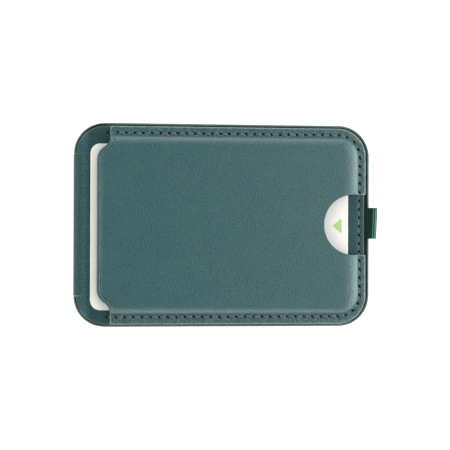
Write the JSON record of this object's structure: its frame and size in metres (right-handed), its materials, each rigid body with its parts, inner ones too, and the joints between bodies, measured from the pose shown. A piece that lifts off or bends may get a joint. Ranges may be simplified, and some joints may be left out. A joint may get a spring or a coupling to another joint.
{
  "type": "card holder",
  "caption": "Magnetic leather card wallet: a flat magnet leaf and a stitched card pocket that opens on a leather spine, with thumb notch and ribbon tab.",
  "frame": {"origin": "centre of the magnet ring on the flat rear face, which is also the middle of the closed wallet's outline without the tab", "axes": "+X along the length, from the leather spine to the ribbon tab; +Y across the width; +Z out of the rear face, towards the card pocket"},
  "size_m": [0.1012, 0.0666, 0.0076],
  "materials": {
    "leather": "smooth teal leather with a fine grain and painted edges",
    "lining": "matt dark microfibre",
    "carrier": "moulded, matt",
    "board": "pressed fibre board",
    "magnet": "nickel plated",
    "steel": "rolled sheet",
    "thread": "waxed thread",
    "ribbon": "green grosgrain, ribbed across its length",
    "card": "off-white with a pale green arrow"
  },
  "bodies": {
    "back_leaf": {"rear_skin": "leather", "magnet_carrier": "carrier", "ring_magnets": "magnet", "magnet_shield": "steel", "alignment_magnet": "magnet", "closure_magnets": "magnet", "inner_skin": "lining", "spine_leather": "leather", "spine_lining": "lining"},
    "pocket_leaf": {"leaf_lining": "lining", "leaf_board": "board", "closure_plates": "steel", "pocket_back": "leather", "pocket_lining": "lining", "front_board": "board", "front_panel": "leather", "needle_thread": "thread", "bobbin_thread": "thread", "ribbon_tail": "ribbon"},
    "tab": {"ribbon_tab": "ribbon"},
    "card_front": {"card_front": "card"},
    "card_rear": {"card_rear": "card"}
  },
  "joints": [
    {"name": "leaf_hinge", "type": "hinge", "parent": "back_leaf", "child": "pocket_leaf", "pos_m": [-0.04905, 0, 0.00205], "axis": [0, -1, 0], "range_deg": [0, 150], "deforming": ["spine_leather", "spine_lining"]},
    {"name": "card_front_slide", "type": "slide", "parent": "pocket_leaf", "child": "card_front", "axis": [-1, 0, 0], "range_m": [0, 0.092]},
    {"name": "card_rear_slide", "type": "slide", "parent": "pocket_leaf", "child": "card_rear", "axis": [-1, 0, 0], "range_m": [0, 0.092]},
    {"name": "tab_fold", "type": "hinge", "parent": "pocket_leaf", "child": "tab", "pos_m": [0.04785, 0.0009, 0.00305], "axis": [0, -1, 0], "range_deg": [0, 75]}
  ]
}
